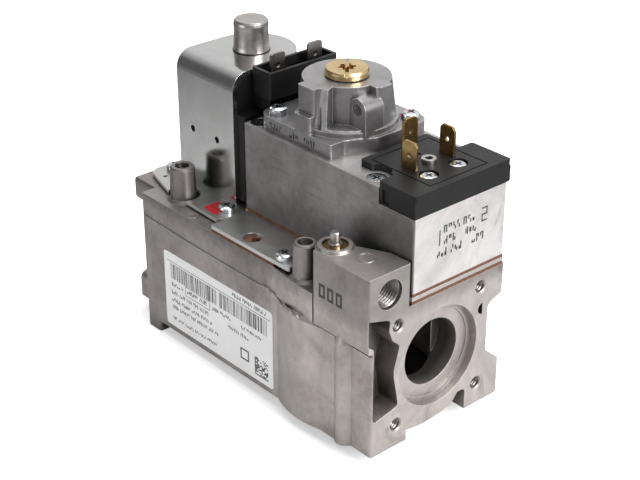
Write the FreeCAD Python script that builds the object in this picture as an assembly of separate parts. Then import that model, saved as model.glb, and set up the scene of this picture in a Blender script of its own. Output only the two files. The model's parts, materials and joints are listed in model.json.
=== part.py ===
"""Two-stage combination gas valve for a boiler, as separate pieces, in millimetres.

The origin is the centre of the outlet port on the outlet flange's face. +X leaves the outlet,
+Z is up, and -Y is the side that carries the label. Gas enters at the far end of X, lifts past
the first solenoid valve, crosses the body in a duct, and passes the diaphragm valve above the
outlet chamber. The servo block on top holds the second solenoid and the pressure regulator.
"""
import FreeCAD
import Part
import math
import os

# Lower body
BODY_LENGTH = 121.1
BODY_HALF_WIDTH = 29.5
BODY_BOTTOM = -26.6
BODY_TOP = 23.5
FLOOR = -31.0
INLET_FACE = -133.2
INLET_HALF_WIDTH = 23.7
BELLY_RADIUS = 32.4
BELLY_CENTRE = (-32.3, 0.0)

# Gas ports and their bolt squares: outlet taps at the drill's radius, inlet at the thread's
PORT_RADIUS = 11.8
SPIGOT_RADIUS = 17.7
SPIGOT_DEPTH = 2.9
STEP_RADIUS = 15.9
STEP_DEPTH = 3.5
BOLT_HALF_PITCH = 18.5
M5_TAP_RADIUS = 2.1
INLET_TAP_RADIUS = 2.5
FLANGE_BOLT_DEPTH = 10.0
POCKET_DEPTH = 8.8

# Layers between the lower body and the servo block
BASE_SEAL_TOP = 24.1
BASE_PLATE_TOP = 25.3
LOWER_GASKET_TOP = 24.8
VALVE_PLATE_TOP = 26.1
UPPER_GASKET_TOP = 27.3

# Servo block
SERVO_LENGTH = 81.9
SERVO_FRONT = -12.9
SERVO_BACK = 28.3
SERVO_SEAM = 51.9
LID_TOP = 58.5
LID_SCREWS = ((-78.7, -8.4), (-21.6, -8.4), (-78.7, 23.8), (-21.6, 23.8))
LID_SCREW_TIP = 14.2

# First solenoid valve
SOLENOID_AXIS = (-102.9, 8.0)
FIRST_SEAT_TOP = 5.0
FIRST_SEAT_RADIUS = 8.5
FIRST_DISC_RADIUS = 11.0
INLET_CHAMBER_RADIUS = 15.0
PLUNGER_RADIUS = 5.4
PLUNGER_TOP = 53.0
CORE_BOTTOM = 57.2
BRACKET_X = (-119.0, -87.7)
BRACKET_FRONT = -12.8
BRACKET_END_CENTRE = 8.5
BRACKET_TOP = 73.8
BRACKET_SHEET = 1.9
NOSE_TOP = 85.0

# Diaphragm valve above the outlet chamber
MAIN_SEAT_TOP = 14.0
MAIN_SEAT_RADIUS = 7.5
MAIN_DISC_RADIUS = 9.5
SPRING_CHAMBER_TOP = 33.5
COVER_FACE = -20.8
COVER_RADIUS = 28.0
COVER_EAR_RADIUS = 29.5
COVER_EAR_ANGLES = (50, 130, 230, 310)
RIM_BOTTOM = -27.9
DIAPHRAGM_THICKNESS = 0.6
DIAPHRAGM_DROP = 5.2

# Servo regulator
REGULATOR_AXIS = (-53.2, 7.7)
REGULATOR_PLATE_TOP = 63.65
REGULATOR_TOP = 79.0
REGULATOR_SCREWS = ((-71.8, -6.05), (-39.4, 23.7), (-71.8, 21.45))
REGULATOR_THREAD_RADIUS = 6.0
CAP_SEAL_TOP = 79.4
VENT_AXIS = (-40.5, 72.3)
VENT_FACE = 0.6

# Servo solenoid and its connector
SERVO_COIL_AXIS = (-15.8, 8.4)
SERVO_SEAT = 36.5
CONNECTOR_TOP = 60.75
SKIRT_BOTTOM = 53.0

# Test nipples and pilot gas outlet
NIPPLES = ((-107.3, -20.8), (-35.6, -25.7))
NIPPLE_FOOT_RADII = (4.8, 4.3)
NIPPLE_TOP = 36.4
NIPPLE_BORE_RADIUS = 2.6
TAP_SCREW_TIP = 20.0
PILOT_AXIS = (-22.4, 31.1)
PILOT_THREAD_RADIUS = 5.1
PILOT_BOSS_TOP = 38.9
INSERT_CENTRE = (-23.2, -24.1)

# Common clearances and the facets of a spring wire
RUNNING = 0.05
LOOSE = 0.1
WIRE_SIDES = 8


# ---------------------------------------------------------------- shape helpers

def point(axis, along, u, v):
    """A vector from a place along an axis and the other two coordinates in X, Y, Z order."""
    order = {"X": (along, u, v), "Y": (u, along, v), "Z": (u, v, along)}
    return FreeCAD.Vector(*order[axis])


def direction(axis):
    return point(axis, 1, 0, 0)


def box(x0, x1, y0, y1, z0, z1):
    return Part.makeBox(x1 - x0, y1 - y0, z1 - z0, FreeCAD.Vector(x0, y0, z0))


def rod(axis, radius, start, end, centre):
    return Part.makeCylinder(radius, end - start, point(axis, start, *centre), direction(axis))


def cone(axis, radius_start, radius_end, start, end, centre):
    base = point(axis, start, *centre)
    return Part.makeCone(radius_start, radius_end, end - start, base, direction(axis))


def tube(axis, outer, inner, start, end, centre):
    return rod(axis, outer, start, end, centre).cut(rod(axis, inner, start, end, centre))


def rounded_wire(axis, along, corners):
    """A closed wire through corners (u, v) or (u, v, radius), with an arc at each radius."""
    count = len(corners)
    entries = []
    for index in range(count):
        corner = corners[index]
        here = point(axis, along, corner[0], corner[1])
        radius = corner[2] if len(corner) > 2 else 0
        if radius == 0:
            entries.append((here, here, None))
            continue
        before = point(axis, along, *corners[index - 1][:2]) - here
        after = point(axis, along, *corners[(index + 1) % count][:2]) - here
        before.normalize()
        after.normalize()
        half_angle = before.getAngle(after) / 2
        reach = radius / math.tan(half_angle)
        bisector = before + after
        bisector.normalize()
        middle = here + bisector * (radius / math.sin(half_angle) - radius)
        entries.append((here + before * reach, here + after * reach, middle))
    edges = []
    for index in range(count):
        arc_start, arc_end, middle = entries[index]
        if middle is not None:
            edges.append(Part.Arc(arc_start, middle, arc_end).toShape())
        next_start = entries[(index + 1) % count][0]
        if (next_start - arc_end).Length > 1e-6:
            edges.append(Part.LineSegment(arc_end, next_start).toShape())
    return Part.Wire(edges)


def prism(axis, corners, start, end):
    face = Part.Face(rounded_wire(axis, start, corners))
    return face.extrude(direction(axis) * (end - start))


def rectangle(u0, u1, v0, v1, radius=0):
    return [(u0, v0, radius), (u1, v0, radius), (u1, v1, radius), (u0, v1, radius)]


def revolve(profile, centre):
    """Turn a closed profile of (radius, z) points about the vertical line at centre."""
    points = [FreeCAD.Vector(r, 0, z) for r, z in profile]
    face = Part.Face(Part.makePolygon(points + [points[0]]))
    solid = face.revolve(FreeCAD.Vector(0, 0, 0), FreeCAD.Vector(0, 0, 1), 360)
    return solid.translated(FreeCAD.Vector(centre[0], centre[1], 0))


def spring(radius, wire, bottom, top, turns, centre):
    """An open coil spring of eight-sided wire, which lies between the two heights."""
    height = top - bottom - 2 * wire
    helix = Part.makeHelix(height / turns, height, radius)
    corners = []
    for step in range(WIRE_SIDES + 1):
        angle = 2 * math.pi * step / WIRE_SIDES
        corners.append(FreeCAD.Vector(radius + wire * math.cos(angle), 0, wire * math.sin(angle)))
    section = Part.makePolygon(corners)
    coil = Part.Wire(helix.Edges).makePipeShell([section], True, True)
    return coil.translated(FreeCAD.Vector(centre[0], centre[1], bottom + wire))


def fuse(shapes):
    return shapes[0].multiFuse(shapes[1:]).removeSplitter() if len(shapes) > 1 else shapes[0]


def cross_recess(centre, top, width, depth, reach):
    arms = [box(-reach, reach, -width / 2, width / 2, top - depth, top + 1),
            box(-width / 2, width / 2, -reach, reach, top - depth, top + 1)]
    return fuse(arms).translated(FreeCAD.Vector(centre[0], centre[1], 0))


def pan_screw(centre, seat, tip, head_radius, head_height, shank_radius):
    """A cross-recess screw with a domed head."""
    top = seat + head_height
    head = revolve([(0, seat), (head_radius, seat), (head_radius, seat + 0.55 * head_height),
                    (0.93 * head_radius, seat + 0.78 * head_height),
                    (0.75 * head_radius, seat + 0.94 * head_height),
                    (0.5 * head_radius, top), (0, top)], centre)
    shank = rod("Z", shank_radius, tip, seat, centre)
    recess = cross_recess(centre, top, 0.26 * head_radius, 0.55 * head_height, 0.52 * head_radius)
    return fuse([head, shank]).cut(recess)


def countersunk_screw(centre, top, tip, head_radius, shank_radius):
    """A cross-recess screw whose flat head ends level with top."""
    cone_height = head_radius - shank_radius
    head = cone("Z", shank_radius, head_radius, top - cone_height, top, centre)
    shank = rod("Z", shank_radius, tip, top - cone_height, centre)
    recess = cross_recess(centre, top, 0.24 * head_radius, 1.1, 0.55 * head_radius)
    return fuse([head, shank]).cut(recess)


def countersink(centre, top, head_radius, hole_radius, bottom):
    """The space that a countersunk screw and its hole take up."""
    depth = head_radius - hole_radius
    mouth = cone("Z", hole_radius, head_radius, top - depth, top, centre)
    return fuse([mouth, rod("Z", hole_radius, bottom, top - depth, centre)])


def bolt_square(face, inward, tap_radius):
    """Four tapped flange holes with a small lead-in, cut inward from a port face."""
    holes = []
    for y in (-BOLT_HALF_PITCH, BOLT_HALF_PITCH):
        for z in (-BOLT_HALF_PITCH, BOLT_HALF_PITCH):
            start, end = sorted((face, face + inward * FLANGE_BOLT_DEPTH))
            holes.append(rod("X", tap_radius, start, end, (y, z)))
            base = FreeCAD.Vector(face, y, z)
            holes.append(Part.makeCone(tap_radius + 0.45, tap_radius, 0.45, base,
                                       FreeCAD.Vector(inward, 0, 0)))
    return holes


def port_bore(face, inward, reach):
    """The spigot seat, its step and the gas way, cut inward from a port face."""
    cuts = []
    for radius, depth in ((SPIGOT_RADIUS, SPIGOT_DEPTH), (STEP_RADIUS, STEP_DEPTH),
                          (PORT_RADIUS, reach)):
        start, end = sorted((face, face + inward * depth))
        cuts.append(rod("X", radius, start, end, (0, 0)))
    return cuts


# ---------------------------------------------------------------- lower body

def body_outside():
    """The casting's outside: long block, flanges, belly, column and feet."""
    block = prism("Z", rectangle(-BODY_LENGTH, 0, -BODY_HALF_WIDTH, BODY_HALF_WIDTH, 1.0),
                  BODY_BOTTOM, BODY_TOP)
    side_recess = prism("X", [(22.5, 10.3, 2), (31, 13.7), (31, -14.1), (22.5, -8.2, 2)], -62, 0)
    ear, neck = INLET_HALF_WIDTH, 19.6
    flange_outline = [(-ear, BODY_TOP, 1), (-ear, 15.4, 2.5), (-neck, 13.2, 2),
                      (-neck, -15.0, 2), (-ear, -17.0, 2.5), (-ear, BODY_BOTTOM, 1),
                      (ear, BODY_BOTTOM, 1), (ear, -17.0, 2.5), (neck, -15.0, 2),
                      (neck, 13.2, 2), (ear, 15.4, 2.5), (ear, BODY_TOP, 1)]
    inlet_flange = prism("X", flange_outline, INLET_FACE, 0.5 - BODY_LENGTH)
    belly = rod("Z", BELLY_RADIUS, BODY_BOTTOM, 12.4, BELLY_CENTRE)
    belly_top = cone("Z", BELLY_RADIUS, BELLY_RADIUS - 2.9, 12.4, 14.4, BELLY_CENTRE)
    past_face = box(-1, 3, -BODY_HALF_WIDTH, BODY_HALF_WIDTH, FLOOR, BODY_TOP)
    belly = fuse([belly, belly_top]).cut(past_face)
    belly_pad = box(-23.0, -15.5, -31.0, -25, BODY_BOTTOM, 12.6)
    column = rod("Z", 3.7, BODY_BOTTOM, 11.4, (-13.0, -28.4))
    column_top = cone("Z", 3.7, 3.0, 11.4, 13.9, (-13.0, -28.4))
    feet = [prism("Z", rectangle(-BODY_LENGTH, -113.5, *sorted((side * 19.5, side * 29.5)), 1),
                  FLOOR, BODY_BOTTOM + 1) for side in (-1, 1)]
    top_band = prism("Y", [(-125, 14.6), (-100, 14.3), (-54, 13.9), (-46, 12.8), (-40.5, 11.2),
                           (-2, 11.0), (5, 11.0), (5, 30), (-125, 30)],
                     -BODY_HALF_WIDTH - 1, 0.35 - BODY_HALF_WIDTH)
    ribs = [box(x, x + 3, 22, BODY_HALF_WIDTH, -14, 13) for x in (-60, -20)]
    shell = fuse([block.cut(side_recess).cut(top_band), inlet_flange, belly, belly_pad, column,
                  column_top]
                 + feet + ribs)
    return shell


def body_bosses():
    """What stands on the casting: pilot boss, nipples, their pads and a moulded ring."""
    outline = [(-26.0, -31.3, 1.0), (0, -31.3, 0.8), (0, -13.6, 0.8), (-8.6, -13.8, 2),
               (-19.2, -18.9, 2), (-26.0, -26.0)]
    boss = prism("Z", outline, 12.5, PILOT_BOSS_TOP)
    wedge = prism("X", [(-33, 12), (-30.3, 12), (-31.3, 13.2), (-33, 13.2)], -30, 1)
    lobe = rod("Z", 6.3, 20, PILOT_BOSS_TOP, INSERT_CENTRE)
    rim = cone("Z", 6.1, 5.6, PILOT_BOSS_TOP, 40.0, INSERT_CENTRE)
    emboss = tube("Z", 3.1, 2.7, PILOT_BOSS_TOP, PILOT_BOSS_TOP + 0.3, (-11.4, -22.0))
    mark = tube("Z", 1.9, 1.45, BODY_TOP, BODY_TOP + 0.25, (-94.0, -27.0))
    pieces = [boss.cut(wedge), lobe, rim, emboss, mark]
    for place, foot in zip(NIPPLES, NIPPLE_FOOT_RADII):
        shoulder = NIPPLE_TOP - 0.7
        pieces.append(cone("Z", foot, foot - 0.45, BODY_TOP, shoulder, place))
        pieces.append(cone("Z", foot - 0.45, foot - 1.0, shoulder, NIPPLE_TOP, place))
        pieces.append(cone("Z", foot + 1.1, foot, BODY_TOP, BODY_TOP + 1.0, place))
    pieces.append(prism("Z", [(-48.0, -29.0), (-38.0, -30.9, 4), (-26.0, -31.3), (-26.0, -26.0),
                              (-48.0, -26.0)], 12.5, BODY_TOP))
    return pieces


def outlet_face_cuts():
    """The pocket, the arched gap between the feet and the small blind holes in the outlet face."""
    pocket = [(-28.8, 13.8, 1), (-28.8, 8), (-28.8, -13.9, 1.5), (-17.7, -11.5, 1.5),
              (-20.2, 1.8, 8), (-17.6, 11.0, 1.5), (-20.9, 13.9, 1.5), (-22.4, 18.0, 2),
              (-21.9, 21.8, 1.5), (-31, 24.5), (-31, 15.4)]
    arch = prism("X", [(-13.8, -28), (-13.8, -22.7), (-8, -23.6), (-2.6, -23.5), (3.4, -22.9),
                       (7.2, -21.6, 4), (9.8, -18.4, 1), (13.4, -18.4, 1.6), (13.4, -28)], -12, 1)
    half_moon = rod("X", 2.1, -3, 0, (19.9, 9.9)).cut(box(-4, 1, 19.9, 23, 7, 13))
    return [prism("X", pocket, -POCKET_DEPTH, 1), arch, half_moon]


def body_hollows():
    """Gas ways, valve chambers, seats, screw holes and drillings."""
    x1, y1 = SOLENOID_AXIS
    inlet_chamber = rod("Z", INLET_CHAMBER_RADIUS, -8, BODY_TOP, SOLENOID_AXIS)
    seat_tube = rod("Z", FIRST_DISC_RADIUS, -8, FIRST_SEAT_TOP, SOLENOID_AXIS)
    duct = [rod("Z", FIRST_SEAT_RADIUS, -22, FIRST_SEAT_TOP, SOLENOID_AXIS),
            box(x1 - 8.5, -60, -2, 16, -22, -12),
            box(-74, -60, -9, 16, -22, BODY_TOP),
            box(-60.5, -36, -6, 9, MAIN_SEAT_TOP + 1, BODY_TOP)]
    valve_chamber = [rod("Z", 11.0, MAIN_SEAT_TOP, BODY_TOP, BELLY_CENTRE),
                     rod("Z", MAIN_SEAT_RADIUS, 10, MAIN_SEAT_TOP, BELLY_CENTRE),
                     rod("Z", 22.0, COVER_FACE, 12, BELLY_CENTRE)]
    cover_space = [rod("Z", COVER_RADIUS + 0.4, BODY_BOTTOM - 1, COVER_FACE, BELLY_CENTRE)]
    for x, y in cover_ears():
        cover_space.append(rod("Z", 5.0, BODY_BOTTOM - 1, COVER_FACE, (x, y)))
        cover_space.append(rod("Z", 1.7, COVER_FACE, -10, (x, y)))
    drillings = [rod("Z", 1.7, LID_SCREW_TIP - 0.5, BODY_TOP, place) for place in LID_SCREWS]
    drillings += [rod("Z", 1.7, 12, BODY_TOP, place) for place in BASE_SCREWS + (TONGUE_SCREW,)]
    for x, y in NIPPLES:
        drillings.append(rod("Z", NIPPLE_BORE_RADIUS, 32.4, NIPPLE_TOP, (x, y)))
        drillings.append(rod("Z", 1.6, TAP_SCREW_TIP, 32.4, (x, y)))
        drillings.append(rod("Z", 0.8, 6, TAP_SCREW_TIP, (x, y)))
        drillings.append(rod("Y", 0.8, y, y + 15, (x, 6.8)))
    pilot_y, pilot_z = PILOT_AXIS
    drillings += [rod("X", PILOT_THREAD_RADIUS, -11, 0, PILOT_AXIS),
                  rod("X", 1.5, -24, -11, PILOT_AXIS),
                  rod("Z", 1.5, pilot_z, 33, INSERT_CENTRE),
                  rod("Z", 4.3, 33, 41, INSERT_CENTRE)]
    return ([inlet_chamber.cut(seat_tube)] + duct + valve_chamber + cover_space + drillings
            + port_bore(0, -1, 12) + port_bore(INLET_FACE, 1, 18.6)
            + bolt_square(0, -1, M5_TAP_RADIUS)
            + bolt_square(INLET_FACE, 1, INLET_TAP_RADIUS))


def main_body():
    casting = fuse([body_outside()] + body_bosses())
    return casting.cut(Part.makeCompound(outlet_face_cuts())).cut(fuse(body_hollows()))


def cover_ears():
    x0, y0 = BELLY_CENTRE
    return [(x0 + COVER_EAR_RADIUS * math.cos(math.radians(angle)),
             y0 + COVER_EAR_RADIUS * math.sin(math.radians(angle))) for angle in COVER_EAR_ANGLES]


def bottom_cover():
    """A pressed cover that holds the diaphragm from below, with four screw ears."""
    flange_top = COVER_FACE - DIAPHRAGM_THICKNESS
    sheet = 1.4
    profile = [(23.2, flange_top), (COVER_RADIUS, flange_top), (COVER_RADIUS, -27.2),
               (COVER_RADIUS - 0.7, RIM_BOTTOM), (23.0, RIM_BOTTOM), (21.6, -29.6),
               (19.6, FLOOR), (0, FLOOR), (0, FLOOR + sheet), (18.9, FLOOR + sheet),
               (20.4, -28.5), (21.6, -26.6), (23.2, -26.2)]
    ears = [rod("Z", 4.4, flange_top - sheet, flange_top, place) for place in cover_ears()]
    solid = fuse([revolve(profile, BELLY_CENTRE)] + ears)
    for place in cover_ears():
        solid = solid.cut(rod("Z", 1.8, RIM_BOTTOM, COVER_FACE, place))
        solid = solid.cut(rod("Z", 3.3, RIM_BOTTOM, flange_top - sheet, place))
    return solid


def cover_screws():
    seat = COVER_FACE - DIAPHRAGM_THICKNESS - 1.4
    screws = []
    for x, y in cover_ears():
        upright = pan_screw((0, 0), 0, -10, 3.1, 2.3, 1.6)
        upright.rotate(FreeCAD.Vector(0, 0, 0), FreeCAD.Vector(1, 0, 0), 180)
        screws.append(upright.translated(FreeCAD.Vector(x, y, seat)))
    return screws


def main_diaphragm():
    """A rubber disc that hangs from its clamped rim as a shallow dish."""
    top, low = COVER_FACE, COVER_FACE - DIAPHRAGM_DROP
    t = DIAPHRAGM_THICKNESS
    profile = [(0, low), (14.2, low), (20.6, top - t), (27.6, top - t), (27.6, top),
               (20.3, top), (13.9, low + t), (0, low + t)]
    return revolve(profile, BELLY_CENTRE)


def main_stem():
    """The diaphragm plate and the stem that lifts the valve disc."""
    plate_bottom = COVER_FACE - DIAPHRAGM_DROP + DIAPHRAGM_THICKNESS
    plate = rod("Z", 13.0, plate_bottom, plate_bottom + 1.5, BELLY_CENTRE)
    hub = cone("Z", 4.0, 2.0, plate_bottom + 1.5, plate_bottom + 5, BELLY_CENTRE)
    stem = rod("Z", 2.0, plate_bottom + 5, MAIN_SEAT_TOP, BELLY_CENTRE)
    return fuse([plate, hub, stem])


def main_valve_seal():
    return tube("Z", MAIN_DISC_RADIUS, 5.0, MAIN_SEAT_TOP, MAIN_SEAT_TOP + 1.6, BELLY_CENTRE)


def main_valve_disc():
    boss = rod("Z", 5.0, MAIN_SEAT_TOP, MAIN_SEAT_TOP + 1.6, BELLY_CENTRE)
    disc = rod("Z", MAIN_DISC_RADIUS, MAIN_SEAT_TOP + 1.6, MAIN_SEAT_TOP + 2.8, BELLY_CENTRE)
    guide = rod("Z", 3.6, MAIN_SEAT_TOP + 2.8, MAIN_SEAT_TOP + 7, BELLY_CENTRE)
    return fuse([boss, disc, guide])


def main_valve_spring():
    return spring(5.2, 0.5, MAIN_SEAT_TOP + 2.8, SPRING_CHAMBER_TOP, 6, BELLY_CENTRE)


def inlet_strainer():
    """A ring with a square grid of wires, pressed into the inlet."""
    start, end = INLET_FACE + STEP_DEPTH, INLET_FACE + STEP_DEPTH + 2.4
    ring = tube("X", PORT_RADIUS, PORT_RADIUS - 1.0, start, end, (0, 0))
    wires = []
    for step in range(-4, 5):
        offset = 2.4 * step
        wires.append(box(start + 0.8, start + 1.3, offset - 0.2, offset + 0.2, -12, 12))
        wires.append(box(start + 0.8, start + 1.3, -12, 12, offset - 0.2, offset + 0.2))
    disc = rod("X", PORT_RADIUS - 0.5, start, end, (0, 0))
    return fuse([ring, fuse(wires).common(disc)])


def type_label():
    """A rectangular label on the -Y face, with rounded corners."""
    outline = rectangle(-108.7, -48.0, -24.5, 5.8, 1.2)
    return prism("Y", outline, -BODY_HALF_WIDTH - 0.15, -BODY_HALF_WIDTH)


def tap_screw(place):
    """The sealing screw inside a test nipple."""
    head = rod("Z", NIPPLE_BORE_RADIUS - LOOSE, 32.4, 34.6, place)
    shank = rod("Z", 1.6 - RUNNING, TAP_SCREW_TIP + 1.2, 32.4, place)
    tip = cone("Z", 0.6, 1.6 - RUNNING, TAP_SCREW_TIP + 0.1, TAP_SCREW_TIP + 1.2, place)
    slot = box(place[0] - 3, place[0] + 3, place[1] - 0.35, place[1] + 0.35, 33.7, 36)
    return fuse([head, shank, tip]).cut(slot)


def pilot_insert():
    ring = tube("Z", 4.3, 1.25, 33, 39.3, INSERT_CENTRE)
    return ring


def pilot_pin():
    """A steel pin with a collar and a chamfered top."""
    stem = rod("Z", 1.2, 34.5, 39.3, INSERT_CENTRE)
    collar = rod("Z", 2.2, 39.3, 40.5, INSERT_CENTRE)
    pin = rod("Z", 1.65, 40.5, 43.9, INSERT_CENTRE)
    crown = cone("Z", 1.65, 1.35, 43.9, 44.3, INSERT_CENTRE)
    return fuse([stem, collar, pin, crown])


# ---------------------------------------------------------------- layers between the blocks

TONGUE_SCREW = (-45.8, -25.6)
TONGUE_HOLE = (-63.9, -24.4)


def layer(start, end, inset, tongue_end):
    """The block's footprint with the tongue that reaches the -Y face, cut for gas and screws."""
    block = box(-SERVO_LENGTH + inset, -inset, SERVO_FRONT + inset, SERVO_BACK - inset, start, end)
    tongue = prism("Z", rectangle(-80.6, tongue_end, -29.2, -10, 0.6), start, end)
    holes = [rod("Z", 1.8, start, end, place) for place in LID_SCREWS + (TONGUE_SCREW,)]
    return block, tongue, holes


def lower_gasket():
    block, tongue, holes = layer(BODY_TOP, LOWER_GASKET_TOP, 0.1, -47.6)
    openings = [box(-74, -60, -9, 16, BODY_TOP, LOWER_GASKET_TOP),
                box(-60.5, -36, -6, 9, BODY_TOP, LOWER_GASKET_TOP),
                rod("Z", 11.0, BODY_TOP, LOWER_GASKET_TOP, BELLY_CENTRE),
                rod("Z", 1.6, BODY_TOP, LOWER_GASKET_TOP, (-63.9, -23.2))]
    return fuse([block, tongue]).cut(fuse(holes + openings))


def valve_plate():
    """The zinc-plated steel plate between the gaskets, with its tongue."""
    block, tongue, holes = layer(LOWER_GASKET_TOP, VALVE_PLATE_TOP, 0, -39.8)
    openings = [rod("Z", 8.0, LOWER_GASKET_TOP, VALVE_PLATE_TOP, BELLY_CENTRE),
                rod("Z", 3.35, LOWER_GASKET_TOP, VALVE_PLATE_TOP, TONGUE_HOLE)]
    nipple_x, nipple_y = NIPPLES[1]
    relief = rod("Z", 4.9, LOWER_GASKET_TOP - 1, VALVE_PLATE_TOP, (nipple_x, nipple_y))
    return fuse([block, tongue]).cut(fuse(holes + openings + [relief]))


def upper_gasket():
    start, end = VALVE_PLATE_TOP, UPPER_GASKET_TOP
    block = layer(start, end, 0.1, -47.6)[0]
    holes = [rod("Z", 1.8, start, end, place) for place in LID_SCREWS]
    return block.cut(fuse(holes + [rod("Z", 8.0, start, end, BELLY_CENTRE)]))


def tongue_screw():
    return pan_screw(TONGUE_SCREW, VALVE_PLATE_TOP, 13.0, 3.1, 2.4, 1.6)


# ---------------------------------------------------------------- servo block

def servo_housing():
    """The upper casting: a solenoid well, a gas chamber and the spring recess."""
    block = prism("Z", rectangle(-SERVO_LENGTH, 0, SERVO_FRONT, SERVO_BACK, 0.8),
                  UPPER_GASKET_TOP, SERVO_SEAM)
    chamber = prism("Z", rectangle(-72, -40, -7, 22, 3), SERVO_SEAT, SERVO_SEAM)
    hollows = [chamber,
               rod("Z", 13.0, SERVO_SEAT, SERVO_SEAM, SERVO_COIL_AXIS),
               rod("Z", 1.0, 31, SERVO_SEAT, SERVO_COIL_AXIS),
               rod("X", 1.0, -26, SERVO_COIL_AXIS[0], (SERVO_COIL_AXIS[1], 31.5)),
               rod("Z", 8.0, UPPER_GASKET_TOP, SPRING_CHAMBER_TOP, BELLY_CENTRE)]
    hollows += [rod("Z", 1.8, UPPER_GASKET_TOP, SERVO_SEAM, place) for place in LID_SCREWS]
    return block.cut(fuse(hollows))


def servo_lid():
    """The cover casting, stepped back where the connector's skirt wraps round it."""
    block = prism("Z", rectangle(-SERVO_LENGTH, 0, SERVO_FRONT, SERVO_BACK, 0.8),
                  SERVO_SEAM, LID_TOP)
    steps = [box(-1.7, 1, -20, 40, SKIRT_BOTTOM, LID_TOP + 1),
             box(-15.9, 1, -20, SERVO_FRONT + 1.6, SKIRT_BOTTOM, LID_TOP + 1)]
    holes = [countersink(place, LID_TOP, 3.35, 1.8, SERVO_SEAM) for place in LID_SCREWS]
    holes += [rod("Z", 1.7, SERVO_SEAM, LID_TOP, place) for place in REGULATOR_SCREWS]
    holes += [rod("Z", 1.6, SERVO_SEAM, LID_TOP, place) for place in CONNECTOR_HOLES]
    holes += [rod("Z", 9.6, SERVO_SEAM, 56.9, SERVO_COIL_AXIS),
              rod("Z", 2.0, SERVO_SEAM, LID_TOP, REGULATOR_AXIS),
              prism("Z", rectangle(-20.6, -11.2, -2.0, 18.8, 1.5), 56.9, LID_TOP),
              box(-26.0, -19.0, 4.6, 12.0, 56.9, LID_TOP)]
    return block.cut(fuse(steps)).cut(fuse(holes))


def lid_screws():
    return [countersunk_screw(place, LID_TOP, LID_SCREW_TIP, 3.25, 1.6) for place in LID_SCREWS]


CONNECTOR_HOLES = ((-9.1, 1.9), (-9.2, 14.9))
BLADES = (("X", (-15.8, 0.2), 70.0), ("X", (-15.8, 16.8), 70.7), ("Y", (-24.6, 8.6), 72.8))
BLADE_WIDTH = 6.3
BLADE_THICKNESS = 0.8
CONNECTOR_LEDGE = 59.2


def blade_box(face, centre, bottom, top):
    """The room that a blade takes up, with its width along the face axis named."""
    half, thin = BLADE_WIDTH / 2, BLADE_THICKNESS / 2
    du, dv = (half, thin) if face == "X" else (thin, half)
    return box(centre[0] - du, centre[0] + du, centre[1] - dv, centre[1] + dv, bottom, top)


def connector_plate():
    """The black moulding that carries three blade contacts, with a skirt on three sides."""
    screw_x, screw_y = LID_SCREWS[1]
    outline = [(-31.3, -6.4, 1), (-16.0, -6.4), (-16.0, -12.8, 0.8), (-0.1, -12.8, 0.8),
               (-0.1, 29.5, 0.8), (-17.0, 29.5, 1), (-17.0, 23.4, 1), (-31.6, 23.4, 1)]
    top = prism("Z", outline, LID_TOP, CONNECTOR_TOP)
    skirts = [box(-1.6, -0.1, -12.8, 29.5, SKIRT_BOTTOM, LID_TOP),
              prism("Y", [(-15.8, LID_TOP), (-14.6, SKIRT_BOTTOM), (-0.1, SKIRT_BOTTOM),
                          (-0.1, LID_TOP)], -12.8, -11.4),
              box(-17.0, -0.1, SERVO_BACK + 0.1, 29.5, SKIRT_BOTTOM, LID_TOP)]
    cuts = [rod("Z", 4.8, LID_TOP - 1, CONNECTOR_TOP + 1, (screw_x, screw_y)),
            box(-14.3, -11.2, -13, -12.2, 53.8, 58.2),
            rod("Z", 2.45, LID_TOP, CONNECTOR_TOP, (-15.8, 8.6)),
            rod("Z", 0.8, LID_TOP, CONNECTOR_TOP, (-21.8, 10.2))]
    cuts += [rod("Z", 3.2, CONNECTOR_LEDGE, CONNECTOR_TOP, place) for place in CONNECTOR_HOLES]
    cuts += [rod("Z", 1.7, LID_TOP, CONNECTOR_LEDGE, place) for place in CONNECTOR_HOLES]
    cuts += [blade_box(face, centre, LID_TOP, CONNECTOR_TOP) for face, centre, _ in BLADES]
    groove_out = prism("Z", rectangle(-29.0, -2.6, -4.1, 21.6), CONNECTOR_TOP - 0.4, CONNECTOR_TOP)
    groove_in = prism("Z", rectangle(-28.5, -3.1, -3.6, 21.1), CONNECTOR_TOP - 0.5, CONNECTOR_TOP)
    return fuse([top] + skirts).cut(fuse(cuts)).cut(groove_out.cut(groove_in))


def connector_screws():
    return [pan_screw(place, CONNECTOR_LEDGE, 54.0, 2.9, 1.3, 1.5) for place in CONNECTOR_HOLES]


def connector_tabs():
    """Three brass blade contacts with cut corners and a locating hole."""
    tabs = []
    for face, centre, top in BLADES:
        wide, narrow, shoulder = BLADE_WIDTH / 2, 2.1, top - 1.3
        axis, across, through = ("Y", 0, 1) if face == "X" else ("X", 1, 0)
        middle, near = centre[across], centre[through] - BLADE_THICKNESS / 2
        outline = [(middle - wide, 57.2), (middle + wide, 57.2), (middle + wide, shoulder),
                   (middle + narrow, top), (middle - narrow, top), (middle - wide, shoulder)]
        blade = prism(axis, outline, near, near + BLADE_THICKNESS)
        hole = rod(axis, 0.8, near - 1, near + 2, (middle, top - 4.6))
        tabs.append(blade.cut(hole))
    return tabs


def connector_nut():
    sleeve = tube("Z", 2.4, 1.3, LID_TOP, 62.0, (-15.8, 8.6))
    return sleeve


def servo_bobbin():
    top, bottom = 50.4, SERVO_SEAT + 0.7
    core = tube("Z", 5.0, 3.9, bottom, top, SERVO_COIL_AXIS)
    flanges = [tube("Z", 11.0, 3.9, z, z + 1, SERVO_COIL_AXIS) for z in (bottom, top - 1)]
    return fuse([core] + flanges)


def servo_winding():
    return tube("Z", 10.2, 5.0, SERVO_SEAT + 1.7, 49.4, SERVO_COIL_AXIS)


def servo_core():
    return rod("Z", 3.9, 44.6, 51.6, SERVO_COIL_AXIS)


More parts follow.
